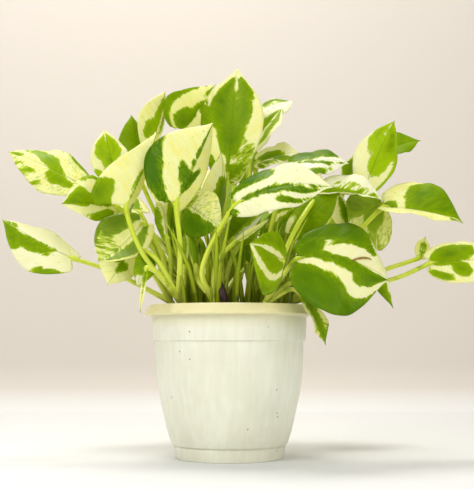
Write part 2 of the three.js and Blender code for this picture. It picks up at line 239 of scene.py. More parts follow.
# ---- The soil ----
# Dark, moist peat and bark filling the pot to a low mound just under its lip. Loose crumbs and bark chips
# lie on top.
SOIL_SIDE = [  # radius and height in mm, up the inside of the pot
    (39.3, 2.9), (42.0, 10.6), (48.9, 35.6), (54.1, 66.7), (54.9, 88.6), (56.8, 91), (57.8, 108),
]
SOIL_RADIUS = 58
SOIL_EDGE = 110
SOIL_RISE = 9
SOIL_TURNS = 150
LUMP_STEEPNESS = 0.0225
CRUMBS = 650
draw = np.random.default_rng(7)
LUMP_WAVES = [  # waves in a metre, times two pi, then direction and phase
    (draw.uniform(60, 520), draw.uniform(0, 2 * np.pi), draw.uniform(0, 2 * np.pi)) for _ in range(26)
]


def lumps(x, y):
    """Uneven ground in metres: a sum of plane sine waves, each with its own direction and phase, lower as it
    gets finer."""
    waves = [(k, k * (x * math.cos(a) + y * math.sin(a)) + phase) for k, a, phase in LUMP_WAVES]
    return sum(LUMP_STEEPNESS / k * np.sin(angle) for k, angle in waves)


def soil_height(x, y):
    """The mound: its middle stands SOIL_RISE above its edge and falls off with the radius squared."""
    share = (x**2 + y**2) / (SOIL_RADIUS * MM) ** 2
    return (SOIL_EDGE + SOIL_RISE * (1 - share)) * MM + lumps(x, y) * (1 - share * 0.7)


def potting_mix():
    """Nearly black peat with brown and grey crumbs."""
    nodes = Nodes("potting_mix")
    place = nodes.object_place()
    cells = nodes.add("TexVoronoi", {"Vector": place, "Scale": 420})
    chance = nodes.add("SeparateColor", {0: cells["Color"]})[0]
    cloud = nodes.noise(place, 220, 6)
    colour = nodes.mixed(chance, (38, 24, 15), (84, 58, 38))
    colour = nodes.mixed(nodes.rescaled(cloud, 0.4, 0.75), (22, 14, 10), colour)
    colour = nodes.mixed(nodes.maths("GREATER_THAN", chance, 0.94), colour, (140, 118, 92))
    bump = nodes.bump(cells["Distance"], 0.9, 0.0015)
    return nodes.finished(nodes.surface({"Base Color": colour, "Normal": bump, "Roughness": 0.92}))


def mound():
    """The soil's outline turned round the axis, then its top moved to soil_height."""
    across = [(r, SOIL_EDGE) for r in np.linspace(SOIL_RADIUS, 1, 46)]
    outline = np.array([(1, SOIL_SIDE[0][1])] + SOIL_SIDE + across, float)
    points, faces = turned(outline, SOIL_TURNS)
    top = points[:, 2] > (SOIL_EDGE - 0.5) * MM
    points[top, 2] = soil_height(points[top, 0], points[top, 1])
    return points, faces


def crumbs():
    """Bark chips: an eight-sided pebble, stretched, turned and scattered over the mound by seeded draws."""
    corners = np.array([(1, 0, 0), (-1, 0, 0), (0, 1, 0), (0, -1, 0), (0, 0, 1), (0, 0, -1)], float)
    sides = [(0, 2, 4), (2, 1, 4), (1, 3, 4), (3, 0, 4), (2, 0, 5), (1, 2, 5), (3, 1, 5), (0, 3, 5)]
    radius = np.sqrt(draw.uniform(0, 1, CRUMBS)) * (SOIL_RADIUS - 2) * MM
    turn = draw.uniform(0, 2 * np.pi, CRUMBS)
    x, y = radius * np.cos(turn), radius * np.sin(turn)
    centre = np.stack([x, y, soil_height(x, y) + 0.0003], axis=-1)
    size = draw.uniform(0.5, 1, (CRUMBS, 3)) * (draw.pareto(3, (CRUMBS, 1)) * 0.9 + 0.9).clip(0.6, 3.4) * MM
    size[:, 2] *= 0.55
    shape = corners[None] * size[:, None] * draw.uniform(0.7, 1.2, (CRUMBS, 6, 1))
    spin = draw.uniform(0, 2 * np.pi, CRUMBS)
    cos, sin = np.cos(spin)[:, None], np.sin(spin)[:, None]
    tilt = draw.normal(0, 0.35, (CRUMBS, 1))
    flat_x = shape[..., 0] * cos - shape[..., 1] * sin
    flat_y = shape[..., 0] * sin + shape[..., 1] * cos
    lifted = shape[..., 2] + tilt * flat_x
    chips = np.stack([flat_x, flat_y, lifted], axis=-1) + centre[:, None]
    return joined([(chip, sides) for chip in chips])


mix = potting_mix()
soil = new_piece("soil_mound", *mound(), mix, "potting_mix")
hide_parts("soil")
new_piece("soil_crumbs", *crumbs(), mix, "potting_mix")

# ---- The leafy stems ----
# Short green cuttings rooted in the soil, each with long petioles that start as sheaths on the stem and end
# in waved, heart-shaped blades. Green patches follow the side veins; the rest of a blade is cream or white.
STEM_RADIUS = 2.9
STEM_DEPTH = 13
RING_STEP = 14  # mm between the rings that old petioles leave on a stem
PETIOLE_RADIUS = 1.9
SHEATH_RADIUS = 2.7
BROADEST = 0.42  # the share of a blade's length where it is usually broadest
LOBE = 0.11
BLADE_ROWS = 44
BLADE_COLUMNS = 29
BLADE_MIDDLE = 0.6  # a blade's thickness along its midrib and at its edge, in mm
BLADE_EDGE = 0.24
RIB_GROOVE = 0.35  # how deep the midrib lies in the upper face, and how far it stands out below, in mm
RIB_RIDGE = 0.8
VEIN_STEP = 6.5  # mm between side veins
LOZENGE_POWER = 2.6
THROUGH_SHARE = 0.42  # how much of a blade's light comes through it
CREAM = (255, 254, 198)
BUTTER = (255, 250, 160)
WHITE = (255, 254, 240)
PALE_GREEN = (196, 216, 62)
LIME = (188, 218, 0)
DEEP_GREEN = (84, 132, 0)
# An olive line colour: painted shade in the midrib's fold, and along the side veins partly their own colour
# and partly painted shade in their grooves.
VEIN_AND_GROOVE_SHADE = (124, 150, 22)
UNDERSIDE = (182, 192, 84)
THROUGH = (252, 255, 138)  # what a blade does to the light that comes through it
WASH = -0.2  # the most that a patch of pale green counts as green
STEMS = {  # place in the soil, height above it, and lean, in mm
    "far_left": ((-44, -6), 9, (-3, 0)),
    "front_left": ((-36, -28), 9, (-2, -2)),
    "upper_left": ((-26, 12), 11, (-3, 1)),
    "front_middle": ((-10, -38), 10, (-6, -1)),
    "middle": ((-5, -8), 11, (1, 1)),
    "front_right": ((27, -38), 9, (2, -2)),
    "right": ((45, -4), 10, (3, 0)),
    "upper_right": ((20, 12), 11, (2, 1)),
    "back_right": ((34, 34), 10, (3, 3)),
    "back_middle": ((2, 42), 10, (0, 3)),
    "back_left": ((-32, 36), 10, (-3, 3)),
}
# Each leaf: the share of the stem's height where its petiole starts; a point that the petiole passes; the
# blade's base and tip; its left and right edges where it is broadest, seen from above with the tip ahead;
# arch and bend over its length, and wave in mm. Then its paint: the ground it is painted on; how white its
# pale parts are, how mottled, and how deep its green is; and its patches in the order they cover one
# another, each a centre along and across the blade, a half length, a half width, and its slant. A patch is
# green, or only pale green where it ends in WASH, or pale where its half width is negative. Last, its
# broadest place, where that isn't the usual one.
LEAVES = {}
LEAVES["far_left"] = [
    [0.6, [-95, -2, 144], [-122, 0, 153], [-177, -4, 184], [-150, -15, 141], [-142, 10, 175],
     0.04, -0.06, 2, "pale", 0.7, 0.2, 0.6, [(0.82, -0.55, 0.2, 0.46, 0),
      (0.62, -0.3, 0.36, 0.25, -0.55), (0.9, 0.3, 0.1, 0.3, 0.3, WASH), (0.2, -0.95, 0.15, 0.16, 0)]],
    [1, [-62, -12, 167], [-88, -12, 193], [-125, -40, 191], [-107, -30, 180], [-111, -22, 215],
     0.08, 0, 2, "pale", 0.2, 0.3, 0.4, [(0.78, 0.25, 0.28, 0.5, 0.2),
      (0.36, 0.12, 0.26, 0.26, 0.3), (0.34, -0.75, 0.22, 0.3, -0.6), (0.3, 0.95, 0.3, 0.12, 0)]],
    # This blade hangs in shade: its mottle and its pale green wash are partly its own colour and partly
    # painted shade, dulling its cream toward olive.
    [0.9, [-52, -14, 155], [-66, -18, 179], [-97, -44, 147], [-99, -24, 178], [-77, -44, 142],
     0.1, 0, 2, "pale", 0.0, 0.5, 0.8, [(0.25, -0.75, 0.28, 0.4, 0),
      (0.5, -0.95, 0.3, 0.12, 0), (0.45, 0.46, 0.48, 0.28, 0), (0.75, -0.3, 0.25, 0.6, 0, WASH)]],
    [0.5, [-61, -14, 143], [-77, -8, 158], [-91, -32, 131], [-71, -12, 143], [-102, -26, 147],
     0.05, 0, 1, "pale", 0.3, 0.4, 0.6, [(0.5, -0.15, 0.16, 0.26, 0.5),
      (0.16, 0.15, 0.24, 0.26, 0.3)]],
    [0.9, [-45, -12, 150], [-48, -15, 168], [-55, -18, 203], [-58, -19, 187], [-50, -13, 188],
     0.05, 0, 1, "pale", 0.1, 0.3, 0.5, [(0.3, -0.9, 0.35, 0.5, 0)]],
]
LEAVES["upper_left"] = [
    [0.6, [-87, 8, 178], [-117, 10, 212], [-178, 16, 241], [-148, 2, 207], [-142, 26, 244],
     0.04, 0, 3, "pale", 0.1, 0.8, 0.45, [(0.54, 0.4, 0.27, 0.28, 1.5),
      (0.28, -0.3, 0.15, 0.27, 0.3), (0.68, -0.75, 0.2, 0.3, 0, WASH), (0.2, 1, 0.2, 0.14, 0),
      (0.9, 0.1, 0.09, 0.3, 0)]],
    [0.8, [-70, 4, 174], [-89, 0, 213], [-100, 6, 257], [-109, -4, 230], [-81, 4, 240],
     0.05, 0, 2, "pale", 0.3, 0.2, 0.1, [(0.64, -0.05, 0.25, 0.74, 0),
      (0.4, -0.1, 0.17, 0.4, 0), (0.9, -0.12, 0.14, -0.13, 0), (0.12, -0.9, 0.15, 0.3, 0)]],
    [0.9, [-57, 16, 185], [-74, 16, 224], [-80, 26, 273], [-90, 14, 253], [-66, 34, 254],
     0.05, 0, 1, "green", 0.6, 0.1, 0.4, [(0.5, 0.98, 0.5, -0.3, 0)]],
    [1, [-49, 14, 201], [-64, 14, 245], [-52, 20, 291], [-72, 4, 267], [-54, 30, 266],
     0.05, 0, 1, "pale", 0.1, 0.3, 0.3, [(0.55, -0.16, 0.36, 0.15, 0),
      (0.26, -0.45, 0.15, 0.24, 0.6), (0.6, 0.5, 0.3, 0.2, 0)]],
    [0.6, [-34, 8, 146], [-42, 6, 166], [-49, 8, 201], [-55, 6, 184], [-38, 12, 186],
     0.05, 0, 1, "green", 0.1, 0.2, 0.5, [(0.5, 0.5, 0.5, -0.18, 0.2)]],
    [0.4, [-30, 18, 138], [-30, 26, 146], [-36, 34, 184], [-48, 30, 166], [-20, 32, 168],
     0.05, 0, 1, "green", 0.1, 0.1, 0.5, [(0.5, -0.5, 0.3, -0.15, 0.2)]],
    [0.9, [-42, 6, 146], [-48, 2, 160], [-47, -4, 206], [-55, 2, 188], [-45, -8, 187],
     0.05, 0, 1, "pale", 0.0, 0.5, 0.5, [(0.45, 0.7, 0.5, 0.5, 0)]],
]
LEAVES["front_left"] = [
    [1, [-36, -48, 159], [-39, -50, 190], [-12, -34, 254], [-64, -44, 223], [-13, -26, 226],
     0.05, 0, 2, "pale", 0.05, 0.3, 1, [(0.32, -0.9, 0.34, 0.3, -0.8),
      (0.31, 0.25, 0.15, 0.17, 1.1), (0.33, -0.15, 0.11, 0.12, -0.8), (0.24, 0.04, 0.13, 0.13, 0),
      (0.7, -0.02, 0.3, 0.045, 0)]],
    [0.8, [-65, -42, 155], [-77, -42, 188], [-55, -22, 250], [-100, -42, 207], [-68, -18, 206],
     0.05, 0, 2, "pale", 0.1, 0.3, 0.5, [(0.1, -0.82, 0.15, 0.34, 0),
      (0.34, -0.04, 0.1, 0.06, 0), (0.6, 0.02, 0.36, 0.06, 0, WASH), (0.1, 0.9, 0.1, 0.3, 0)], 0.15],
    [0.6, [-53, -38, 148], [-63, -36, 156], [-68, -42, 129], [-55, -34, 143], [-71, -40, 143],
     0.05, 0, 1, "green", 0.6, 0.2, 0.5, [(0.9, 0, 0.22, -0.9, 0)]],
    [0.45, [-53, -54, 139], [-60, -56, 142], [-64, -64, 109], [-60, -61, 126], [-64, -59, 126],
     0, 0, 0, "pale", 0.2, 0.6, 0.5, [(0.1, 0, 0.35, 1.2, 0)]],
    [0.8, [-34, -31, 132], [-34, -31, 144], [-33, -30, 171], [-36, -31, 154], [-31, -29, 154],
     0.03, 0, 0, "green", 0.1, 0.1, 0.5, [(0.5, 0.7, 0.6, -0.3, 0)]],
]
LEAVES["front_middle"] = [
    [0.5, [-20, -46, 140], [5, -58, 188], [74, -80, 198], [40, -56, 219], [40, -80, 181],
     0.06, -0.07, 3, "pale", 0.65, 0.3, 1, [(0.2, -0.86, 0.2, 0.34, 0.5),
      (0.34, 0.04, 0.28, 0.16, 0.2), (0.66, 0.3, 0.2, 0.17, 1.6), (0.6, 0.72, 0.16, 0.12, 1.4),
      (0.42, 0.34, 0.12, -0.1, 1), (0.8, 0.2, 0.12, 0.14, 1, WASH), (0.02, 0.85, 0.08, 0.25, 0)]],
    # This blade hangs in shade: its full mottle is partly its own flecks and partly painted shade, dulling
    # its cream toward olive.
    [0.7, [-30, -24, 158], [-33, -20, 194], [-5, -48, 172], [-15, -30, 203], [-26, -34, 164],
     0.05, 0, 1, "pale", 0.0, 1.0, 0.9, [(0.48, 0.6, 0.46, 0.5, 0),
      (0.12, -0.3, 0.08, 0.4, 0, WASH)]],
    [1, [-24, -35, 135], [-25, -31, 145], [-30, -27, 171], [-29, -30, 156], [-24, -28, 156],
     0.03, 0, 0, "green", 0.0, 0.1, 0.5, []],
    [0.5, [-9, -42, 147], [5, -44, 162], [30, -46, 179], [16, -48, 172], [18, -40, 167],
     0.03, 0, 0.5, "pale", 0.1, 0.2, 0.5, [(0.4, 0.8, 0.7, 0.4, 0)]],
]
LEAVES["middle"] = [
    [1, [-6, 2, 172], [-2, 6, 215], [6, -4, 304], [-22, -2, 272], [27, -10, 262],
     0.03, 0, 2, "pale", 0.2, 0.15, 0.6, [(0.68, -0.06, 0.24, 0.72, 0),
      (0.82, 0.62, 0.1, 0.26, 0), (0.52, -0.9, 0.12, 0.26, 0), (0.42, 0, 0.2, 0.46, 0),
      (0.2, -0.03, 0.17, 0.1, 0), (0.95, 0.08, 0.2, -0.14, 0), (0.17, 0.55, 0.2, 0.4, 0.5, WASH),
      (0.12, -0.85, 0.12, 0.2, 0)], 0.52],
    [0.8, [-27, 16, 201], [-37, 24, 260], [-11, -14, 288], [-57, 8, 273], [-19, 0, 266],
     0.05, 0, 2, "pale", 0.2, 0.2, 0.5, [(0.42, -0.98, 0.45, 0.24, 0),
      (0.22, -0.22, 0.24, 0.36, 0.5), (0.48, -0.06, 0.16, 0.1, 0), (0.62, 0.35, 0.12, 0.4, 0.3),
      (0.9, -0.1, 0.12, 0.14, 0)]],
    [0.5, [-13, -14, 155], [-11, -10, 181], [-6, -12, 235], [-20, -22, 208], [-3, 8, 211],
     0.05, 0, 1, "green", 0.1, 0.3, 0.6, [(0.86, -0.1, 0.2, -0.7, 0),
      (0.6, -0.8, 0.3, -0.5, 0.6), (0.1, -0.9, 0.3, -0.4, 0)]],
    [0.7, [0, -6, 148], [8, -2, 165], [21, 4, 204], [2, 6, 188], [25, -4, 183],
     0.05, 0, 1, "green", 0.1, 0.3, 0.5, [(0.4, 0.6, 0.3, -0.16, 0.8)]],
    [0.4, [4, 10, 138], [12, 22, 146], [0, 30, 188], [-12, 24, 170], [18, 30, 168],
     0.05, 0, 1, "green", 0.1, 0.1, 0.5, [(0.6, 0.4, 0.2, -0.15, 0.3)]],
    [0.6, [-6, -8, 150], [3, -8, 168], [27, -10, 188], [14, -10, 181], [17, -8, 175],
     0.03, 0, 0.5, "pale", 0.8, 0.1, 0.5, [(0.5, -0.8, 0.7, 0.5, 0)]],
]
LEAVES["upper_right"] = [
    [1, [16, 24, 202], [20, 26, 268], [53, 32, 286], [34, 44, 290], [34, 16, 266],
     0.05, 0, 2, "pale", 0.9, 0.6, 0.8, [(0.6, -0.6, 0.3, 0.34, 0, WASH),
      (0.62, -0.75, 0.25, 0.16, 0), (0.3, -0.85, 0.22, 0.16, 0), (0.35, 0.7, 0.25, 0.26, 0)]],
    [0.9, [15, 12, 193], [16, 12, 241], [43, 16, 277], [22, 22, 269], [39, -4, 256],
     0.05, 0, 2, "pale", 0.5, 0.1, 0.4, [(0.62, -0.12, 0.36, 0.26, 0),
      (0.55, 0.56, 0.38, 0.17, 0)]],
    [0.8, [20, 16, 189], [22, 18, 232], [56, 10, 239], [37, 26, 249], [40, 0, 227],
     0.05, 0, 2, "pale", 0.4, 0.3, 0.6, [(0.3, -0.1, 0.3, 0.3, 0.3),
      (0.6, 0.45, 0.2, 0.25, 1.4), (0.3, 0.7, 0.2, 0.3, 0.5, WASH)]],
    [0.7, [36, 14, 185], [47, 10, 225], [67, 6, 234], [56, 14, 239], [59, 2, 225],
     0.05, 0, 1, "green", 0.2, 0.2, 0.5, [(0.5, 0.6, 0.4, -0.14, 0.5)]],
    [0.5, [35, -4, 187], [47, -8, 225], [93, -10, 227], [72, 4, 240], [71, -22, 215],
     0.08, 0, 2, "pale", 1.0, 0.5, 0.9, [(0.64, -0.75, 0.2, 0.45, 0),
      (0.3, -0.6, 0.28, 0.5, 0), (0.45, 0.12, 0.36, 0.1, 0.5), (0.75, 0.35, 0.16, 0.14, 1, WASH),
      (0.3, 0.8, 0.3, 0.2, 0)]],
    [0.6, [22, 8, 150], [30, 4, 166], [55, 8, 196], [32, 12, 190], [55, 0, 174],
     0.05, 0, 1, "green", 0.0, 0.2, 0.5, [(0.6, -0.5, 0.3, -0.2, 0.5)]],
    [0.4, [28, 18, 136], [36, 24, 142], [42, 34, 182], [26, 30, 162], [54, 26, 164],
     0.05, 0, 1, "green", 0.0, 0.1, 0.5, [(0.5, 0.5, 0.3, -0.2, 0.5)]],
    [0.8, [15, 7, 137], [13, 3, 150], [13, 0, 172], [10, 1, 158], [16, 1, 158],
     0.03, 0, 0, "green", 0.1, 0.1, 0.5, []],
    [1, [22, 8, 138], [24, 5, 150], [31, 1, 176], [24, 2, 163], [32, 0, 161],
     0.03, 0, 0, "green", 0.1, 0.1, 0.5, [(0.6, -0.6, 0.3, -0.3, 0)]],
]
LEAVES["right"] = [
    # This blade's light lime green, depth 0.05, is partly its own colour and partly painted light, standing
    # in for light that shines through it.
    [1, [88, 6, 179], [107, 4, 210], [131, 2, 263], [96, -2, 231], [138, 10, 241],
     0.04, -0.04, 2, "pale", 0.5, 0.1, 0.05, [(0.72, 0.25, 0.26, 0.75, 0),
      (0.42, 0.2, 0.24, 0.4, 0.4), (0.75, -0.6, 0.26, 0.34, -0.9), (0.94, -0.3, 0.16, -0.14, -0.5),
      (0.3, 1, 0.3, 0.14, 0)]],
    [0.95, [97, 24, 190], [116, 30, 239], [157, 36, 254], [136, 42, 262], [137, 20, 238],
     0.04, 0, 2, "green", 0.3, 0.1, 0.5, [(0.1, 0.8, 0.15, -0.3, 0)]],
    [0.9, [80, 20, 182], [93, 20, 212], [103, 24, 241], [90, 12, 226], [103, 34, 226],
     0.04, 0, 1, "pale", 0.3, 0.2, 0.5, [(0.4, -0.4, 0.38, 0.55, 0)]],
    [0.8, [95, -8, 168], [119, -12, 192], [178, -24, 179], [146, 4, 216], [147, -34, 181],
     0.05, 0, 2, "pale", 0.1, 0.5, 0.6, [(0.62, -0.5, 0.38, 0.56, -0.3),
      (0.92, 0.5, 0.08, 0.4, 0), (0.05, 0, 0.12, 0.3, 0)]],
    [0.85, [84, 6, 170], [121, 6, 197], [91, -14, 180], [105, 6, 210], [120, 4, 160],
     0.05, 0, 2, "pale", 0.0, 1.0, 0.4, [(0.5, -0.6, 0.52, 0.6, 0),
      (0.3, 0.2, 0.28, 0.3, 0), (0.5, 0.85, 0.3, 0.3, 0, WASH)]],
    [0.5, [128, -6, 137], [156, -4, 149], [215, 2, 151], [181, 10, 168], [175, -14, 132],
     0.05, 0, 2, "pale", 0.3, 0.3, 0.5, [(0.28, -0.34, 0.26, 0.44, -0.3),
      (0.5, -0.5, 0.12, 0.3, 0), (0.38, 0.34, 0.13, 0.34, 1), (0.14, 0.75, 0.12, 0.16, 0),
      (0.85, -0.5, 0.14, 0.36, 0), (0.16, 0.1, 0.12, 0.14, 0)]],
    [0.6, [126, 4, 146], [151, 12, 155], [156, 16, 172], [147, 14, 163], [161, 18, 165],
     0.05, 0, 0, "pale", 0.1, 0.3, 0.5, [(0.3, 0, 0.3, 0.3, 0, WASH)]],
    [0.7, [72, 2, 158], [92, 2, 178], [84, 4, 209], [79, 0, 190], [94, 8, 196],
     0.05, 0, 1, "pale", 0.3, 0.2, 0.5, [(0.45, 0.1, 0.4, 0.35, 0)]],
]
LEAVES["front_right"] = [
    [1, [49, -46, 171], [70, -20, 201], [118, -24, 196], [99, -12, 218], [92, -40, 198],
     0.05, 0, 2, "pale", 0.8, 0.4, 0.6, [(0.5, -0.2, 0.5, 0.3, 0.2, WASH),
      (0.14, -0.05, 0.16, 0.3, 0), (0.4, -0.1, 0.25, 0.08, 0.2), (0.55, 1, 0.4, 0.16, 0)]],
    [0.6, [38, -50, 135], [49, -60, 148], [116, -58, 133], [79, -41, 179], [80, -77, 105],
     0.06, -0.09, 3, "pale", 0.45, 0.1, 0.8, [(0.36, -0.86, 0.44, 0.4, 0.3),
      (0.12, -0.42, 0.15, 0.4, 0), (0.34, -0.5, 0.28, 0.16, -0.2, WASH), (0.5, 0.06, 0.38, 0.12, 0.4),
      (0.84, 0.34, 0.24, 0.24, 0.5), (0.3, 0.78, 0.32, 0.5, 0.5), (0.62, 0.98, 0.28, 0.3, 0.6)], 0.47],
    [0.7, [68, -34, 148], [92, -32, 166], [121, -42, 113], [113, -40, 149], [98, -36, 143],
     0.05, 0, 1, "green", 0.7, 0.1, 0.5, [(0.5, -0.95, 0.4, -0.25, 0)], 0.36],
    [0.9, [33, -48, 132], [39, -58, 147], [15, -86, 157], [31, -70, 119], [33, -70, 167],
     0.05, 0, 1, "pale", 0.3, 0.2, 0.4, [(0.45, -0.2, 0.46, 0.2, 0.2),
      (0.5, 0.7, 0.65, 0.42, 0), (0.4, -1, 0.55, 0.36, 0)]],
    [0.8, [42, -36, 148], [48, -32, 169], [83, -30, 201], [56, -24, 195], [72, -38, 176],
     0.05, 0, 1, "green", 0.2, 0.1, 0.5, [(0.1, -0.8, 0.15, -0.3, 0)]],
    [0.3, [47, -40, 127], [55, -42, 121], [72, -34, 86], [73, -30, 106], [58, -48, 107],
     0.05, 0, 2, "green", 0.0, 0.5, 0.5, [(0.5, -0.85, 0.22, -0.5, 0),
      (0.45, 0.95, 0.36, -0.38, 0)]],
]
LEAVES["back_right"] = [
    [0.8, [58, 52, 160], [72, 62, 186], [118, 98, 210], [86, 92, 210], [102, 64, 190],
     0.06, 0, 2, "pale", 0.3, 0.3, 0.5, [(0.5, -0.5, 0.4, 0.5, -0.4),
      (0.25, 0.6, 0.22, 0.34, 0.5)]],
    [0.5, [46, 60, 140], [56, 78, 150], [92, 128, 138], [64, 112, 148], [92, 94, 144],
     0.08, 0, 2, "green", 0.3, 0.2, 0.5, [(0.6, 0.45, 0.35, -0.34, 0.6),
      (0.3, -0.9, 0.3, -0.3, 0)]],
    [1, [46, 54, 180], [52, 64, 212], [72, 98, 248], [42, 88, 234], [80, 78, 228],
     0.05, 0, 2, "pale", 0.2, 0.3, 0.5, [(0.45, 0.1, 0.42, 0.5, 0.4),
      (0.2, -0.85, 0.18, 0.25, 0)]],
]
LEAVES["back_middle"] = [
    [0.8, [0, 66, 170], [-4, 84, 196], [-20, 132, 246], [-36, 104, 220], [8, 110, 226],
     0.05, 0, 2, "pale", 0.2, 0.2, 0.5, [(0.5, 0.3, 0.42, 0.55, 0),
      (0.6, -0.85, 0.25, 0.26, 0)]],
    [0.6, [14, 64, 160], [20, 84, 180], [34, 138, 208], [8, 112, 198], [50, 104, 194],
     0.06, 0, 2, "green", 0.5, 0.3, 0.5, [(0.55, -0.5, 0.4, -0.42, -0.3),
      (0.8, 0.6, 0.2, -0.3, 0.5)]],
    [0.5, [-4, 62, 140], [-8, 84, 150], [-18, 144, 128], [-36, 110, 142], [12, 116, 146],
     0.08, 0, 2, "pale", 0.3, 0.4, 0.5, [(0.5, 0.05, 0.38, 0.6, 0), (0.2, 0.85, 0.18, 0.24, 0)]],
    [1, [2, 58, 190], [4, 68, 226], [10, 96, 284], [-14, 80, 252], [24, 82, 254],
     0.05, 0, 2, "green", 0.2, 0.2, 0.5, [(0.75, 0.35, 0.26, -0.4, 0.4),
      (0.35, -0.85, 0.3, -0.28, 0)]],
]
LEAVES["back_left"] = [
    [0.9, [-58, 50, 165], [-76, 58, 196], [-128, 84, 222], [-104, 54, 200], [-98, 92, 222],
     0.06, 0, 2, "pale", 0.2, 0.2, 0.5, [(0.5, 0.4, 0.42, 0.52, 0.3),
      (0.3, -0.8, 0.28, 0.26, 0)]],
    [1, [-46, 60, 190], [-52, 74, 218], [-70, 112, 268], [-84, 92, 240], [-42, 98, 244],
     0.05, 0, 2, "pale", 0.3, 0.5, 0.5, [(0.5, -0.15, 0.42, 0.55, 0.2),
      (0.7, 0.9, 0.2, 0.24, 0)]],
    [0.5, [-40, 66, 145], [-44, 86, 158], [-50, 142, 136], [-60, 110, 150], [-24, 116, 156],
     0.08, 0, 2, "green", 0.4, 0.2, 0.5, [(0.5, -0.55, 0.4, -0.36, -0.4),
      (0.9, 0.1, 0.16, -0.3, 0)]],
    [0.6, [-56, 52, 150], [-78, 62, 164], [-108, 104, 178], [-104, 72, 160], [-80, 98, 182],
     0.06, 0, 2, "pale", 0.2, 0.3, 0.5, [(0.55, 0.3, 0.4, 0.5, 0.5),
      (0.3, -0.6, 0.25, 0.35, 0)]],
]


def travelled(line, power=1):
    """How far along the line each point is, with every step raised to a power."""
    steps = np.linalg.norm(np.diff(line, axis=0), axis=1) ** power
    return np.concatenate([[0], np.cumsum(steps)])


def unit(vectors):
    """Each vector over its own length."""
    return vectors / np.linalg.norm(vectors, axis=-1, keepdims=True)


def smooth_line(corners, count):
    """A centripetal Catmull-Rom curve through the corners, its ends carried straight on: within each span a
    point is blended from its four nearest corners, with knots spaced by the root of their distances."""
    corners = np.array(corners, float)
    corners = np.concatenate([[2 * corners[0] - corners[1]], corners, [2 * corners[-1] - corners[-2]]])
    pieces = []
    for k in range(1, len(corners) - 2):
        p = corners[k - 1 : k + 3]
        knots = travelled(p, 0.5)
        last = k == len(corners) - 3
        t = np.linspace(knots[1], knots[2], count, endpoint=last)[:, None]

        def between(a, b, low, high):
            return ((high - t) * a + (t - low) * b) / (high - low)

        one = between(p[0], p[1], knots[0], knots[1])
        two = between(p[1], p[2], knots[1], knots[2])
        three = between(p[2], p[3], knots[2], knots[3])
        one, two = between(one, two, knots[0], knots[2]), between(two, three, knots[1], knots[3])
        pieces.append(between(one, two, knots[1], knots[2]))
    return np.concatenate(pieces)


def stalk(line, radius, sides=12, groove=0.0):
    """A tube along a line: at each point a ring of its radius, square to the line, with a shallow groove on
    one side. Returns its points, faces and each point's place as length along, angle and radius."""
    line = np.asarray(line)
    ahead = unit(np.gradient(line, axis=0))
    level = np.cross((0, 0, 1), line[-1] - line[0])
    size = np.linalg.norm(level)
    level = level / size if size > 1e-6 else np.array((1.0, 0, 0))
    side = unit(level - ahead * (ahead @ level)[:, None])
    top = np.cross(ahead, side)
    angle = np.linspace(0, 2 * np.pi, sides, endpoint=False)
    dent = 1 - groove * np.exp(-(((angle - np.pi * 1.5) / 0.45) ** 2))
    reach = np.asarray(radius)[:, None] * dent
    ring = side[:, None] * (reach * np.cos(angle))[..., None]
    ring = ring + top[:, None] * (reach * np.sin(angle))[..., None]
    points = (line[:, None] + ring).reshape(-1, 3)
    index = np.arange(len(points)).reshape(-1, sides)
    turn = np.roll(index, -1, axis=1)
    faces = np.stack([index[:-1], turn[:-1], turn[1:], index[1:]], axis=-1).reshape(-1, 4).tolist()
    faces += [index[0][::-1].tolist(), index[-1].tolist()]
    along = travelled(line)
    place = np.stack(np.broadcast_arrays(along[:, None] / along[-1], angle / (2 * np.pi), reach), axis=-1)
    return points, faces, place.reshape(-1, 3)


def breadth(s, broadest):
    """Half a blade's breadth over its greatest: a sine whose top lies at the broadest place, to a power that
    makes the base round and the tip pointed, drawn in a little more at the very tip."""
    power = math.log(0.5) / math.log(broadest)
    drip = 1 - 0.35 * np.clip((s - 0.78) / 0.22, 0, 1) ** 2
    return drip * np.sin(np.pi * s**power) ** (0.55 + 0.5 * s)


def blade_shape(leaf):
    """The part of a leaf's numbers that blade_surface needs."""
    return (*leaf[2:9], *(leaf[14:] or [BROADEST]))


def blade_frame(base, tip, left, right, arch, bend, broadest):
    """The blade's fixed directions: along its midrib, its two halves' reach at the broadest place, the way
    its upper face looks, and the bow of its midrib."""
    base, tip, left, right = (np.array(p, float) for p in (base, tip, left, right))
    along = tip - base
    length = np.linalg.norm(along)
    along /= length
    straight = base + along * length * broadest
    reach = [edge - straight - along * ((edge - straight) @ along) for edge in (left, right)]
    side = reach[1] - reach[0]
    side /= np.linalg.norm(side)
    face = np.cross(side, along)
    offset = (face * arch + side * bend) * length
    reach = [half - offset * 4 * broadest * (1 - broadest) for half in reach]
    return base, along, length, reach, face, offset


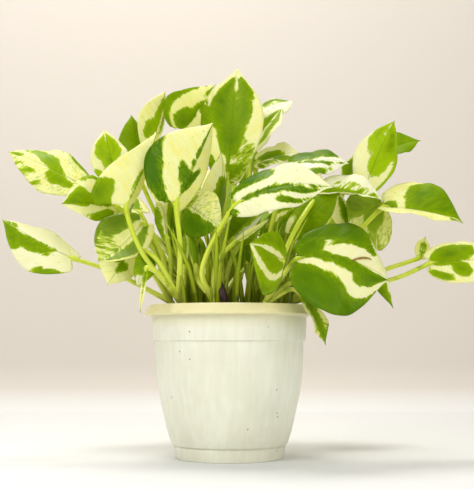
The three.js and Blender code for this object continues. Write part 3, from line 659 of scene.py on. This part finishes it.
def blade_surface(shape, s, t):
    """A blade's middle surface in mm, s from base 0 to tip 1 and t from left -1 to right 1: the bowed
    midrib, plus each half's reach times the breadth, swept back into two lobes at the base, with waved
    edges, a slight swelling between midrib and edge, and quilting between the side veins. Also returns how
    far each place is from the midrib, where it is in the row of side veins, and the blade's length."""
    *corners, arch, bend, wave, broadest = shape
    base, along, length, reach, face, offset = blade_frame(*corners, arch, bend, broadest)
    s, t = (a[..., None] for a in np.broadcast_arrays(s, t))
    half = np.where(t < 0, reach[0], reach[1])
    half_width = np.linalg.norm(half, axis=-1, keepdims=True)
    wide = breadth(s, broadest)
    out = np.abs(t)
    lobes = LOBE * out**1.5 * (1 - s) ** 4 * np.minimum(1, 2.5 * wide)
    phase = 2 * np.pi * (1.6 * s + np.where(t < 0, 0.15, 0.6))
    rise = wave * t**2 * np.sin(np.pi * s) * np.sin(phase)
    ruffle = 0.16 * wave * out**3 * np.sin(2 * np.pi * (5.3 * s + 0.37 * np.sign(t)))
    rise += ruffle * np.sin(np.pi * s)
    rise += 0.045 * half_width * wide * 4 * out * (1 - out)
    vein = s * length - 0.7 * half_width * wide * out
    rise += 0.16 * np.cos(2 * np.pi * vein / VEIN_STEP) * out**0.5 * (1 - t**2)
    rise -= 0.02 * length * np.clip((s - 0.8) / 0.2, 0, 1) ** 2
    point = base + along * (s - lobes) * length + offset * 4 * s * (1 - s)
    point = point + half * wide * out + face * rise
    return point, half_width[..., 0] * wide[..., 0] * out[..., 0], vein[..., 0], length


def upward(surface):
    """The way that each point of a grid of points faces."""
    return unit(np.cross(np.gradient(surface, axis=1), np.gradient(surface, axis=0)))


def green_field(ground, patches, s, t, length, width):
    """How far inside the green a place is, in mm, and below 0 in the pale. A patch is a rounded lozenge: its
    rim is where |ds / half length|^p + |dt / half width|^p is 1, p being LOZENGE_POWER, with dt slanted
    along the blade."""
    field = np.full(np.broadcast(s, t).shape, 6.0 if ground == "green" else -6.0)
    for s0, t0, long, wide, slant, *most in patches:
        across = np.abs((t - t0 - slant * (s - s0)) / wide)
        reach = (np.abs((s - s0) / long) ** LOZENGE_POWER + across**LOZENGE_POWER) ** (1 / LOZENGE_POWER)
        inside = (1 - reach) * max(2.5, min(long * length, abs(wide) * width))
        if wide < 0:
            field = np.minimum(field, -inside)
        else:
            field = np.maximum(field, np.minimum(inside, most[0] if most else 99))
    return field


def grid_faces(a, b, c, d):
    """Four-sided faces whose corners are these arrays of point numbers."""
    return np.stack([a, b, c, d], axis=-1).reshape(-1, 4).tolist()


def blade(shape, number, ground, whiteness, mottle, depth, patches):
    """A thin closed blade: its middle surface moved up and down by half a thickness that falls off toward
    the edge, with a groove over the midrib and a rib under it, and a wall round the edge. Returns its points
    and faces, and four layers of numbers for its skin: place, vein, paint, and 1 on the underside."""
    s = np.linspace(0.012, 0.994, BLADE_ROWS)[:, None]
    u = np.linspace(-1, 1, BLADE_COLUMNS)[None, :]
    t = np.sign(u) * np.abs(u) ** 1.35
    middle, distance, vein, length = blade_surface(shape, s, t)
    out = upward(middle)
    half = (BLADE_EDGE + (BLADE_MIDDLE - BLADE_EDGE) * (1 - t**2))[..., None] / 2 + 0 * s[..., None]
    rib = np.exp(-((distance / 0.9) ** 2))[..., None]
    upper = middle + out * (half - RIB_GROOVE * rib * (1 - s[..., None]))
    lower = middle - out * (half + RIB_RIDGE * rib * (1.02 - s[..., None]))
    points = np.concatenate([upper.reshape(-1, 3), lower.reshape(-1, 3)])
    count = distance.size
    top = np.arange(count).reshape(distance.shape)
    under = top + count
    rim = np.concatenate([top[0], top[1:, -1], top[-1, -2::-1], top[-2:0:-1, 0]])
    beyond = np.roll(rim, -1)
    faces = grid_faces(top[:-1, :-1], top[:-1, 1:], top[1:, 1:], top[1:, :-1])
    faces += grid_faces(under[:-1, :-1], under[1:, :-1], under[1:, 1:], under[:-1, 1:])
    faces += grid_faces(beyond, rim, rim + count, beyond + count)
    s, t = np.broadcast_arrays(s, t)
    field = green_field(ground, patches, s, t, length, distance.max())
    same = np.ones_like(s)
    layers = [
        (s, depth * same, distance),
        (vein + 40.0 * number, distance, number * same),
        (field, whiteness * same, mottle * same),
    ]
    layers = [np.tile(np.stack(layer, axis=-1).reshape(-1, 3), (2, 1)) for layer in layers]
    return points, faces, *layers, np.repeat([[0.0] * 3, [1.0] * 3], count, axis=0)


def blade_skin():
    """A waxy blade. Green where the painted field plus streaks along the side veins is above zero, pale
    green in a narrow band beside it, cream or white beyond, with pale green flecks where it is mottled. The
    midrib carries a thin darker line of painted shade in its fold, and the side veins are darker, partly
    their own colour and partly painted shade in their grooves. Yellow-green light comes through, and the
    underside is duller."""
    nodes = Nodes("blade_skin")
    s, depth, distance = nodes.split(nodes.layer("place"))
    field, whiteness, mottle = nodes.split(nodes.layer("paint"))
    underside = nodes.split(nodes.layer("under"))[0]
    vein_place = nodes.layer("vein")
    broad = nodes.noise(vein_place, 1, 2, stretch=(0.15, 0.09, 3.7))
    small = nodes.noise(vein_place, 1, 4, 0.65, stretch=(0.62, 0.19, 5.1))
    cells = nodes.noise(vein_place, 1, 5, 0.7, stretch=(0.55, 0.34, 2.3))
    wobble = nodes.times(nodes.maths("SUBTRACT", broad, 0.5), 6.0)
    ripple = nodes.times(nodes.maths("SUBTRACT", small, 0.5), 4.5)
    edge = nodes.maths("ADD", field, nodes.maths("ADD", wobble, ripple))
    is_green = nodes.rescaled(edge, 0.0, 0.25)

    butter = nodes.mixed(nodes.rescaled(broad, 0.4, 0.7), CREAM, BUTTER)
    cream = nodes.mixed(whiteness, butter, WHITE)
    fleck = nodes.maths("ADD", cells, nodes.maths("MULTIPLY_ADD", mottle, 0.16, -0.66))
    cream = nodes.mixed(nodes.times(nodes.rescaled(fleck, 0.0, 0.07), 0.75), cream, PALE_GREEN)
    own = nodes.mixed(depth, LIME, DEEP_GREEN)
    green = nodes.mixed(nodes.times(nodes.rescaled(cells, 0.4, 0.7), 0.5), own, LIME)
    deep = nodes.mixed(nodes.times(nodes.rescaled(broad, 0.65, 0.35), 0.5), own, DEEP_GREEN)
    colour = nodes.mixed(nodes.rescaled(edge, -0.75, -0.45), cream, PALE_GREEN)
    colour = nodes.mixed(is_green, colour, green)
    colour = nodes.mixed(nodes.rescaled(edge, 2.0, 7.0), colour, deep)

    step = nodes.maths("FRACT", nodes.maths("DIVIDE", nodes.split(vein_place)[0], VEIN_STEP))
    line = nodes.maths("ABSOLUTE", nodes.maths("SUBTRACT", step, 0.5))
    side_vein = nodes.rescaled(line, 0.07, 0.0)
    rib_width = nodes.maths("MULTIPLY_ADD", s, -0.5, 0.8)
    rib = nodes.rescaled(nodes.maths("DIVIDE", distance, rib_width), 0.9, 0.4)
    vein_shade_share = nodes.maths("MULTIPLY_ADD", is_green, 0.1, 0.05)
    # Side veins darker, partly their own colour and partly painted shade in their grooves, more on the
    # green.
    colour = nodes.mixed(nodes.times(side_vein, vein_shade_share), colour, VEIN_AND_GROOVE_SHADE)
    # Midrib: a thin darker line of painted shade in its fold.
    colour = nodes.mixed(nodes.times(rib, 0.45), colour, VEIN_AND_GROOVE_SHADE)
    colour = nodes.mixed(nodes.times(underside, 0.25), colour, UNDERSIDE)

    heights = nodes.maths("ADD", nodes.times(side_vein, -0.6), nodes.times(small, 0.3))
    normal = nodes.bump(heights, 0.35, 0.0004)
    rough = nodes.maths("MULTIPLY_ADD", small, 0.2, 0.26)
    waxy = {"Base Color": colour, "Roughness": rough, "Normal": normal, "Specular IOR Level": 0.14}
    lit = nodes.mixed(1.0, colour, nodes.mixed(whiteness, THROUGH, WHITE), "MULTIPLY")
    through = nodes.add("BsdfTranslucent", {"Color": lit, "Normal": normal})[0]
    both = nodes.add("MixShader", {0: THROUGH_SHARE, 1: nodes.surface(waxy), 2: through})[0]
    return nodes.finished(both)


def stalk_skin(name, dull, fresh_light, low_light, blotch):
    """A stalk with fine lengthwise lines and a few blotches. Its lines take another colour near the soil."""
    nodes = Nodes(name)
    streak = nodes.noise(nodes.layer("place"), 1, 3, stretch=(1.5, 26, 0))
    where = nodes.object_place()
    cloud = nodes.noise(where, 60, 3)
    fresh = nodes.mixed(nodes.rescaled(streak, 0.3, 0.7), dull, fresh_light)
    low = nodes.mixed(nodes.rescaled(streak, 0.3, 0.7), dull, low_light)
    colour = nodes.mixed(nodes.rescaled(nodes.split(where)[2], 0.17, 0.125), fresh, low)
    colour = nodes.mixed(nodes.rescaled(cloud, 0.58, 0.72), colour, blotch)
    finish = {"Roughness": 0.36, "Specular IOR Level": 0.25, "Normal": nodes.bump(streak, 0.3, 0.0003)}
    glow = {"Subsurface Weight": 0.2, "Subsurface Radius": (0.003, 0.004, 0.001)}
    return nodes.finished(nodes.surface({"Base Color": colour, **finish, **glow}))


def stem_line(stem):
    """The points of a stem's middle line: straight in the soil, bending above it."""
    (x, y), height, (lean_x, lean_y) = stem
    ground = SOIL_EDGE + SOIL_RISE * (1 - (x * x + y * y) / SOIL_RADIUS**2)
    rises = [(0, -STEM_DEPTH), (0, -STEM_DEPTH / 2), (0, 1), (0.35, height / 2), (1, height)]
    return [(x + lean_x * lean, y + lean_y * lean, ground + rise) for lean, rise in rises]


def on_stem(stem, share):
    """The point at a share of the stem's height above the soil."""
    foot, middle, top = (np.array(p) for p in stem_line(stem)[-3:])
    if share < 0.5:
        return foot + (middle - foot) * share * 2
    return middle + (top - middle) * (share * 2 - 1)


def stem(name):
    """A stem's tube, with a ring at each old petiole's place, narrowing at its top."""
    line = smooth_line(stem_line(STEMS[name]), 10)
    height = line[:, 2] - line[0, 2]
    from_ring = (height + 4) % RING_STEP - RING_STEP / 2
    rings = 1 + 0.1 * np.exp(-((from_ring / 1.2) ** 2))
    taper = 1 - 0.35 * (height / height[-1]) ** 6
    return stalk(line, STEM_RADIUS * rings * taper, sides=16)


def petiole(start, via, shape):
    """A petiole's tube: a sheath that clasps the stem, thinning to the petiole's own radius, a slight knee
    under the blade, and a tail that thins out under the midrib."""
    ends = blade_surface(shape, np.array([0.012, 0.09]), np.array([0.0, 0.0]))[0]
    span = 16
    line = smooth_line([start, via, *ends], span)
    share = travelled(line)
    share /= share[-1]
    radius = PETIOLE_RADIUS + (SHEATH_RADIUS - PETIOLE_RADIUS) * np.exp(-share / 0.16)
    knee = share[-span - 1]
    radius = radius * (1 + 0.22 * np.exp(-(((share - knee) / 0.04) ** 2)))
    tail = np.clip((share - knee) / (1 - knee), 0, 1)
    return stalk(line, radius * (1 - 0.75 * tail), groove=0.16)


def store(piece, label, values):
    """Three numbers for each point of the piece, for its material to read."""
    layer = piece.data.attributes.new(label, "FLOAT_VECTOR", "POINT")
    layer.data.foreach_set("vector", np.concatenate(values).astype(np.float32).ravel())


def leafy_stem(name, first_number, skins):
    """One stem with all its leaves, as a single mesh with two materials. A stalk has one layer of numbers,
    its place, and a blade has four."""
    parts = [stem(name)]
    for number, leaf in enumerate(LEAVES[name], first_number):
        shape = blade_shape(leaf)
        parts.append(petiole(on_stem(STEMS[name], leaf[0]), leaf[1], shape))
        parts.append(blade(shape, number, *leaf[9:14]))
    points, faces = joined(parts)
    piece = new_piece("leaves_" + name, points * MM, faces, skins[0], "leafy_stem")
    piece.data.materials.append(skins[1])
    is_stalk = [int(len(part) == 3) for part in parts for _ in part[1]]
    piece.data.polygons.foreach_set("material_index", is_stalk)
    for k, label in enumerate(("place", "vein", "paint", "under"), 2):
        store(piece, label, [part[k] if k < len(part) else 0 * part[0] for part in parts])
    piece.data.update()
    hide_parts("leafy_stem_" + name)


leaf_skins = [
    blade_skin(),
    stalk_skin("stalk_skin", (172, 194, 0), (222, 232, 84), (234, 234, 116), (136, 160, 0)),
]
first_number = 1
for name in STEMS:
    leafy_stem(name, first_number, leaf_skins)
    first_number += len(LEAVES[name])

# ---- The young shoots ----
# Between the stems stand slender young shoots, each leaf still rolled to a point. A curled, dried sheath is
# left at the foot of the front stems, and the broadest front blade has a healed, brown scratch.
SHOOTS = 120
SHOOT_CIRCLE = 50
SHOOT_ROOM = 4.5  # mm kept free between a shoot and any blade
SHEATH_LINE = [(-2, -47, 113), (-5, -48, 124), (-9.5, -46, 138)]
SCRATCH_S = (0.56, 0.78)  # where the scratch runs along and across its blade
SCRATCH_T = (0.0, -0.34)


def young_shoots():
    """Tapered tubes from the soil, each leaning outward in a curve by seeded draws. One that would come near
    a blade is left out."""
    s, t = np.meshgrid(np.linspace(0.02, 0.98, 16), np.linspace(-1, 1, 13))
    shapes = [blade_shape(leaf) for leaves in LEAVES.values() for leaf in leaves]
    blades = np.concatenate([blade_surface(shape, s, t)[0].reshape(-1, 3) for shape in shapes])
    shoots = []
    for _ in range(SHOOTS):
        radius = math.sqrt(draw.uniform(0, 1)) * SHOOT_CIRCLE
        turn = draw.uniform(0, 2 * math.pi)
        foot = np.array([radius * math.cos(turn), radius * math.sin(turn), 0])
        foot[2] = soil_height(foot[0] * MM, foot[1] * MM) / MM - 3
        tall = draw.uniform(20, 76)
        outward = foot[:2] / SHOOT_CIRCLE * tall * 0.42
        lean = np.append(outward + draw.normal(0, 0.17 * tall, 2), 0)
        knee = foot + lean * 0.3 + (0, 0, tall * 0.5)
        line = smooth_line([foot, knee, foot + lean + (0, 0, tall)], 5)
        gap = np.linalg.norm(line[:, None] - blades[None], axis=-1).min()
        thick = draw.uniform(1.1, 2.1)
        if gap >= SHOOT_ROOM:
            share = np.linspace(0, 1, len(line))
            shoots.append(stalk(line, thick * (1 - share**4) + 0.15, sides=8, groove=0.25))
    return shoots


def dry_tissue(name, dark, light):
    """Dead, dried leaf tissue, streaked lengthwise."""
    nodes = Nodes(name)
    streak = nodes.noise(nodes.object_place(), 1, 4, stretch=(900, 900, 120))
    colour = nodes.mixed(nodes.rescaled(streak, 0.45, 0.75), dark, light)
    return nodes.finished(nodes.surface({"Base Color": colour, "Roughness": 0.6}))


def swelling(count, start, end):
    """The square root of a sine, which swells quickly at both ends."""
    return np.sqrt(np.sin(np.pi * np.linspace(start, end, count)))


def dry_sheath():
    """A swelling tube with a deep groove where it curls."""
    line = smooth_line(SHEATH_LINE, 10)
    points, faces, _ = stalk(line, 3.4 * swelling(len(line), 0.06, 0.99), sides=20, groove=0.7)
    return points * MM, faces


def scratch():
    """A low ridge along the blade's upper face, as a tube whose line lies just under the face."""
    shape = blade_shape(LEAVES["front_right"][1])
    s, t = np.linspace(*SCRATCH_S, 14), np.linspace(*SCRATCH_T, 14)
    here = blade_surface(shape, s, t)[0]
    ahead = blade_surface(shape, s + 0.01, t)[0] - here
    across = blade_surface(shape, s, t + 0.01)[0] - here
    line = here + unit(np.cross(across, ahead)) * 0.05
    points, faces, _ = stalk(line, 1.1 * swelling(len(s), 0.03, 0.97), sides=10)
    return points * MM, faces


shoot_skin = stalk_skin("shoot_skin", (126, 152, 0), (208, 222, 50), (140, 148, 12), (66, 88, 0))
shoot_parts = young_shoots()
points, faces = joined(shoot_parts)
shoots = new_piece("young_shoots", points * MM, faces, shoot_skin, "leafy_stem")
store(shoots, "place", [part[2] for part in shoot_parts])
new_piece("dry_sheath", *dry_sheath(), dry_tissue("dry_sheath", (38, 14, 18), (96, 52, 40)), "leafy_stem")
new_piece("scratch", *scratch(), dry_tissue("scratch", (128, 102, 28), (186, 152, 74)), "leafy_stem")

# ---- The studio ----
# A plain pale floor that sweeps up into a plain pale wall, a camera at the photograph's place, and soft
# lamps: a broad one behind and above that shines through the blades, and fill from the front and left.
FLOOR_HALF = 3.0
WALL_START = 0.5
SWEEP = 0.06
FLOOR_COLOUR = (228, 229, 228)
WALL_COLOUR = (211, 203, 194)
AIR_COLOUR = (1.0, 0.98, 0.95, 1)
AIR_LIGHT = 0.4
LAMPS = {  # place, the point it faces, side length, power and colour
    "top_lamp": ((-0.15, 0.2, 1.2), (0, 0, 0.2), 0.45, 9.5, (1, 0.98, 0.93)),
    "left_lamp": ((-0.9, -0.9, 0.8), (0, 0, 0.15), 0.7, 8.4, (1, 0.99, 0.97)),
    "front_lamp": ((0.7, -1.3, 0.6), (0, 0, 0.15), 1.2, 9.6, (1, 0.99, 0.97)),
}
CAMERA_PLACE = (0.0058, -0.817, 0.089)
CAMERA_RISE = math.radians(5.25)
IMAGE_LONG_SIDE = 489
FOCAL_PIXELS = 1050
SENSOR = 36


def studio_card():
    """The floor's and the wall's colour in one, and clear from behind, so that the plant can also be looked
    at from there."""
    nodes = Nodes("studio_card")
    height = nodes.split(nodes.object_place())[2]
    colour = nodes.mixed(nodes.rescaled(height, 0.0, 0.03), FLOOR_COLOUR, WALL_COLOUR)
    matte = nodes.surface({"Base Color": colour, "Roughness": 0.9})
    behind = nodes.add("NewGeometry")["Backfacing"]
    clear = nodes.add("BsdfTransparent")[0]
    return nodes.finished(nodes.add("MixShader", {0: behind, 1: matte, 2: clear})[0])


def backdrop():
    """A floor plane, a quarter-circle sweep, and an upright wall, as one profile carried along X."""
    angle = np.linspace(0, np.pi / 2, 16)
    y = np.concatenate([[-FLOOR_HALF], WALL_START + SWEEP * np.sin(angle), [WALL_START + SWEEP]])
    z = np.concatenate([[0], SWEEP * (1 - np.cos(angle)), [FLOOR_HALF]])
    left = np.stack([0 * y - FLOOR_HALF, y, z], axis=-1)
    count = len(y)
    faces = [(k, k + count, k + count + 1, k + 1) for k in range(count - 1)]
    return np.concatenate([left, left * [-1, 1, 1]]), faces


def lamp(name, place, aim, size, power, colour):
    """A square soft lamp at a place, turned toward its aim."""
    light = bpy.data.lights.new(name, "AREA")
    light.size, light.energy, light.color = size, power, colour
    made = bpy.data.objects.new(name, light)
    made.location = place
    x, y, z = np.array(aim) - np.array(place)
    pitch = math.pi / 2 + math.atan2(z, math.hypot(x, y))
    made.rotation_euler = (pitch, 0, math.atan2(y, x) - math.pi / 2)
    bpy.context.scene.collection.objects.link(made)


card = mesh_object("studio_floor", *backdrop(), studio_card())
for name, settings in LAMPS.items():
    lamp(name, *settings)

world = bpy.data.worlds.new("studio_air")
world.use_nodes = True
world.node_tree.nodes["Background"].inputs[0].default_value = AIR_COLOUR
world.node_tree.nodes["Background"].inputs[1].default_value = AIR_LIGHT
world.cycles_visibility.glossy = False  # only the lamps glint on the leaves
bpy.context.scene.world = world

view = bpy.data.cameras.new("photo_camera")
view.sensor_width = SENSOR
view.lens = SENSOR * FOCAL_PIXELS / IMAGE_LONG_SIDE
camera = bpy.data.objects.new("photo_camera", view)
camera.location = CAMERA_PLACE
camera.rotation_euler = (math.pi / 2 + CAMERA_RISE, 0, 0)
bpy.context.scene.collection.objects.link(camera)
bpy.context.scene.camera = camera
bpy.context.scene.view_settings.view_transform = "Standard"
